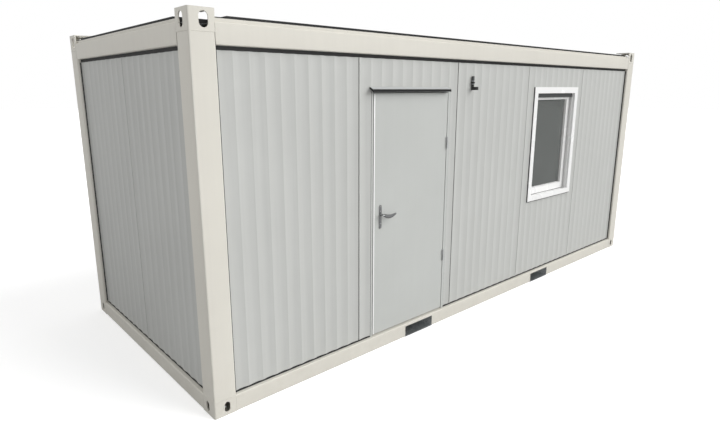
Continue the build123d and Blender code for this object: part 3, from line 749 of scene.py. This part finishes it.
def make_lock_plate_details():
    """Screws and a keyway on both faces of the lock plates."""
    for side, y, facing in (("outside", leaf_low.y - 0.006, FRONT), ("inside", leaf_high.y + 0.006, BACK)):
        heads = [(SPINDLE.x, y, z) for z in (plates_high.z - 0.013, plates_high.z - 0.050)]
        repeat("plate_screws_" + side, SCREW_HEAD, heads, facing, "door", "threshold_metal")
    outside, inside = plates_low.y, plates_high.y
    key_z = SPINDLE.z - 0.076
    shape = bmesh.new()
    for y, out in ((outside, FRONT), (inside, BACK)):
        plug = [(0.0, 0.0008), (0.0052, 0.0008), (0.0056, 0.0004), (0.0056, -0.001), (0.0, -0.001)]
        add_turned(shape, plug, 28, Vector((SPINDLE.x, y, key_z)), out)
    finished("key_plugs", shape, "door", "threshold_metal", 30)
    # painted shade: black slots stand in for the shade inside the keyways
    slots = []
    for y, out in ((outside, -1), (inside, 1)):
        ends = sorted((y + out * 0.0004, y + out * 0.0010))
        slots.append(((SPINDLE.x - 0.0006, ends[0], key_z - 0.0042),
                      (SPINDLE.x + 0.0006, ends[1], key_z + 0.0034)))
    bars("keyways", "door", "black_trim", slots)


def make_catch_details():
    """Grey sleeve, ring clamps and buffer on the hold-open catch."""
    low, high = box_of("door_catch")
    middle, foot = (low.x + high.x) / 2, low.z
    back, front = high.y - 0.002, high.y - 0.016
    bars("catch_sleeve", "cabin", "shutter_grey",
         [((middle - 0.0108, front - 0.0010, foot + 0.083), (middle + 0.0108, back, foot + 0.1208))], 1.5)
    bars("catch_clamps", "cabin", "galvanised_sheet",
         [((middle - 0.0125, front - 0.0025, foot + z - 0.003), (middle + 0.0125, back, foot + z + 0.003))
          for z in (0.052, 0.078)], 0.8)
    bars("catch_buffer", "cabin", "black_trim",
         [((middle - 0.018, front - 0.006, foot + 0.058), (middle + 0.012, back, foot + 0.072))], 2.5)


def make_window_trim():
    """Gaskets, guide rails and drain caps of the window."""
    frame_low, frame_high = box_of("window_frame")
    sash_low, sash_high = box_of("window_sash")
    glass_low, glass_high = box_of("window_glass")
    left = (sash_low.x - FRAME_LOW.x) / MM - 0.5
    right = (sash_high.x - FRAME_LOW.x) / MM + 0.5
    low, high = sash_low.z / MM, sash_high.z / MM + 0.5
    face = (frame_low.y - FRAME_LOW.y) / MM
    sash = (sash_low.y - FRAME_LOW.y) / MM
    gaskets = ring_bars("front", (left, right), (low, high), 4.0, (sash - 2.5, sash + 1.0))
    glass = [(glass_low.x - FRAME_LOW.x) / MM, (glass_high.x - FRAME_LOW.x) / MM]
    pane = (glass_low.y - FRAME_LOW.y) / MM
    gaskets += ring_bars("front", glass, (glass_low.z / MM, glass_high.z / MM), 2.0, (pane - 1.0, pane + 0.5))
    bars("window_gaskets", "cabin", "seal_rubber", gaskets, 0.5)
    edge_left, edge_right = ((x - FRAME_LOW.x) / MM for x in (frame_low.x, frame_high.x))
    foot, head = frame_low.z / MM, frame_high.z / MM
    # painted shade: black strips under and beside the window frame stand in for its contact shadow on the
    # wall
    joint = [bar_on("front", (edge_left - 3, edge_left + 2), (face + 4, face + 14), (foot - 4, head)),
             bar_on("front", (edge_right - 2, edge_right + 2), (face + 6, face + 14), (foot - 4, head)),
             bar_on("front", (edge_left + 2, edge_right - 2), (face + 2, face + 14), (foot - 5, foot + 2))]
    bars("window_frame_joint", "cabin", "seal_rubber", joint, 0.8)
    guides = []
    for inner, outer in ((left, left + 14), (right, right - 14)):
        lip = sorted((inner, outer))
        web = sorted((inner, inner + (1.5 if outer > inner else -1.5)))
        guides += [bar_on("front", lip, (face + 22, face + 31), (low, high - 43)),
                   bar_on("front", lip, (face + 50, sash - 3), (low, high - 43)),
                   bar_on("front", web, (face + 31, face + 50), (low, high - 43))]
    bars("shutter_guides", "cabin", "window_white", guides, 0.6)
    sill = frame_low.z / MM
    caps = [bar_on("front", (a - 16, a + 16), (face - 3.0, face + 0.5), (sill + 16, sill + 24))
            for a in (left + 120, right - 120)]
    bars("drain_caps", "cabin", "window_white", caps, 1.2)
    x, y, z = sash_low.x + 0.038, sash_high.y, (sash_low.z + sash_high.z) / 2
    bars("window_handle", "cabin", "window_white",
         [((x - 0.015, y - 0.001, z - 0.035), (x + 0.015, y + 0.008, z + 0.035)),
          ((x - 0.008, y + 0.006, z - 0.008), (x + 0.008, y + 0.040, z + 0.008)),
          ((x - 0.010, y + 0.030, z - 0.110), (x + 0.010, y + 0.042, z + 0.010))], 3.0)


def make_roof_details():
    """Black strips painted as the shaded band on the rails' upstands, caps on the folded seams and screws
    along the edges.
    """
    upstand_top = height_of("roof_rail_front", 1)
    upstand = (upstand_top - 22.0, upstand_top + 6)
    # painted shade: a black strip along each upstand stands in for the shaded roof edge above the rails
    bars("upstand_cover", "cabin", "seal_rubber",
         [bar_on(side, (166, run - 166), (18.4, 20.2), upstand) for side, run in RUNS.items()], 0.5)
    seam_top = box_of("roof_sheet")[1].z
    corner_notch, roof_bays = 253 + 18, 10
    step = (LENGTH - 2 * corner_notch) / roof_bays
    caps = []
    for i in range(1, roof_bays):
        x = FRAME_LOW.x + (corner_notch + i * step) * MM
        caps.append(((x - 0.013, FRAME_LOW.y + 0.043, seam_top - 0.006),
                     (x + 0.013, FRAME_HIGH.y - 0.043, seam_top + 0.002)))
    bars("seam_caps", "cabin", "galvanised_sheet", caps, 1.8)
    sheet_top = seam_top - 0.018
    points = []
    for x in (FRAME_LOW.x + 0.030 + 0.03, FRAME_HIGH.x - 0.030 - 0.03):
        points += row((x, FRAME_LOW.y + 0.32, sheet_top), (x, FRAME_HIGH.y - 0.32, sheet_top), 0.20)
    repeat("roof_screws", SCREW_HEAD, points, UP, "cabin", "galvanised_sheet", 5)


def make_underside_details():
    """Rivets that hold the sheet below the floor."""
    sheet_foot = box_of("underside_sheet")[0].z
    first, second = FORK_MIDDLES
    rail_depth = 110
    bays = [(rail_depth, first - FORK_HALF_WIDTH), (first + FORK_HALF_WIDTH, second - FORK_HALF_WIDTH),
            (second + FORK_HALF_WIDTH, LENGTH - rail_depth)]
    points = []
    for start, end in bays:
        step = (end - start) / 4
        for i in range(1, 4):
            x = FRAME_LOW.x + (start + i * step) * MM
            points += row((x, FRAME_LOW.y + 0.16, sheet_foot), (x, FRAME_HIGH.y - 0.16, sheet_foot), 0.15)
    repeat("underside_rivets", RIVET_HEAD, points, DOWN, "cabin", "galvanised_sheet", 7)


def make_room_trim():
    """Skirting and corner strips inside the room."""
    deck_top = box_of("floor_deck")[1].z
    ceiling_low = box_of("ceiling")[0].z
    inner = 0.086
    x0, x1 = FRAME_LOW.x + inner, FRAME_HIGH.x - inner
    y0, y1 = FRAME_LOW.y + inner, FRAME_HIGH.y - inner
    door_low, door_high = box_of("door_frame")
    head = deck_top + 0.05
    skirting = [((x0, y1 - 0.010, deck_top), (x1, y1, head)),
                ((x0, y0, deck_top), (x0 + 0.010, y1, head)),
                ((x1 - 0.010, y0, deck_top), (x1, y1, head)),
                ((x0, y0, deck_top), (door_low.x, y0 + 0.010, head)),
                ((door_high.x, y0, deck_top), (x1, y0 + 0.010, head))]
    bars("skirting", "cabin", "shutter_grey", skirting, 1.5)
    foot = ceiling_low - 0.03
    coving = [((x0, y1 - 0.030, foot), (x1, y1, ceiling_low)),
              ((x0, y0, foot), (x1, y0 + 0.030, ceiling_low)),
              ((x0, y0, foot), (x0 + 0.030, y1, ceiling_low)),
              ((x1 - 0.030, y0, foot), (x1, y1, ceiling_low))]
    bars("coving", "cabin", "ceiling_white", coving, 2.0)


def world_white():
    """White behind the cabin, and a softer white that lights it."""
    world = bpy.data.worlds.new("studio")
    world.use_nodes = True
    net = Tree(world.node_tree)
    lit = world.node_tree.nodes["Background"]
    lit.inputs["Color"].default_value = (1.0, 1.0, 1.0, 1.0)
    lit.inputs["Strength"].default_value = 0.61
    seen = net.add("ShaderNodeBackground", {"Color": (1.0, 1.0, 1.0, 1.0), "Strength": 1.0})
    path = net.add("ShaderNodeLightPath")
    both = net.add("ShaderNodeMixShader", {0: path.outputs["Is Camera Ray"], 1: lit.outputs["Background"],
                                           2: seen.outputs["Background"]})
    net.feed(world.node_tree.nodes["World Output"].inputs["Surface"], both.outputs["Shader"])
    bpy.context.scene.world = world


def aimed(name, lamp, place, aim):
    """Hang a lamp in one place and point it at another."""
    lit = bpy.data.objects.new(name, lamp)
    lit.location = place
    lit.rotation_euler = (Vector(aim) - Vector(place)).to_track_quat("-Z", "Y").to_euler()
    bpy.context.scene.collection.objects.link(lit)
    return lit


def soft_sun(name, direction, strength, spread):
    """An even soft light from the given direction, without a shine of its own."""
    lamp = bpy.data.lights.new(name, "SUN")
    lamp.energy = strength
    lamp.angle = math.radians(spread)
    aimed(name, lamp, Vector(direction) * 20.0, (0.0, 0.0, 0.0)).visible_glossy = False


def gloss_panel(name, place, aim, size, brightness):
    """A large panel that is only seen as a shine on bends and edges."""
    lamp = bpy.data.lights.new(name, "AREA")
    lamp.shape = "RECTANGLE"
    lamp.size, lamp.size_y = size
    lamp.energy = brightness * math.pi * size[0] * size[1]
    aimed(name, lamp, place, aim).visible_diffuse = False


def studio_floor_finish():
    """Nearly white to look at, and as grey as a paved yard in the light that it throws back."""
    finish, net, shader = new_finish("studio_floor", Roughness=0.9)
    shader.inputs["Base Color"].default_value = (0.86, 0.86, 0.86, 1.0)
    shader.inputs["Emission Color"].default_value = (1.0, 1.0, 1.0, 1.0)
    shader.inputs["Emission Strength"].default_value = 0.35
    shader.inputs["Specular IOR Level"].default_value = 0.0
    paved = net.add("ShaderNodeBsdfDiffuse", {"Color": (0.50, 0.50, 0.50, 1.0)})
    path = net.add("ShaderNodeLightPath")
    both = net.add("ShaderNodeMixShader", {0: path.outputs["Is Camera Ray"], 1: paved.outputs["BSDF"],
                                           2: shader.outputs["BSDF"]})
    net.feed(finish.node_tree.nodes["Material Output"].inputs["Surface"], both.outputs["Shader"])
    return finish


def make_studio():
    """Pale floor, white surroundings and the soft lights."""
    floor_mesh = bpy.data.meshes.new("studio_floor")
    half = 60.0
    floor_mesh.from_pydata([(-half, -half, 0), (half, -half, 0), (half, half, 0), (-half, half, 0)],
                           [], [(0, 1, 2, 3)])
    floor = bpy.data.objects.new("studio_floor", floor_mesh)
    bpy.context.scene.collection.objects.link(floor)
    floor_mesh.materials.append(studio_floor_finish())
    world_white()
    soft_sun("key", (0.62, -0.66, 0.50), 2.98, 55.0)
    soft_sun("rake", (-0.45, 1.0, 0.40), 1.0, 35.0)
    gloss_panel("left_gloss", (-7.5, -7.5, 1.2), (-2.0, -1.0, 1.2), (9.0, 2.3), 16.0)
    bpy.context.scene.view_settings.view_transform = "Standard"


def make_camera():
    """The camera where the photograph was taken from."""
    lens = bpy.data.cameras.new("camera")
    lens.sensor_fit = "HORIZONTAL"
    lens.sensor_width = SENSOR_WIDTH
    lens.lens = CAMERA_LENS
    lens.clip_end = 200.0
    camera = bpy.data.objects.new("camera", lens)
    camera.location = CAMERA_PLACE
    camera.rotation_euler = (math.radians(90 - CAMERA_DIP), math.radians(CAMERA_ROLL),
                             math.radians(CAMERA_TURN))
    bpy.context.scene.collection.objects.link(camera)
    bpy.context.scene.camera = camera


make_camera()
make_studio()
dress_cad_nodes()
make_levers()
make_wall_trim()
make_welds()
make_door_gasket()
make_lock_edge()
make_threshold_trim()
make_drip_rail_cover()
make_door_frame_joint()
make_lock_plate_details()
make_catch_details()
make_window_trim()
make_roof_details()
make_underside_details()
make_room_trim()
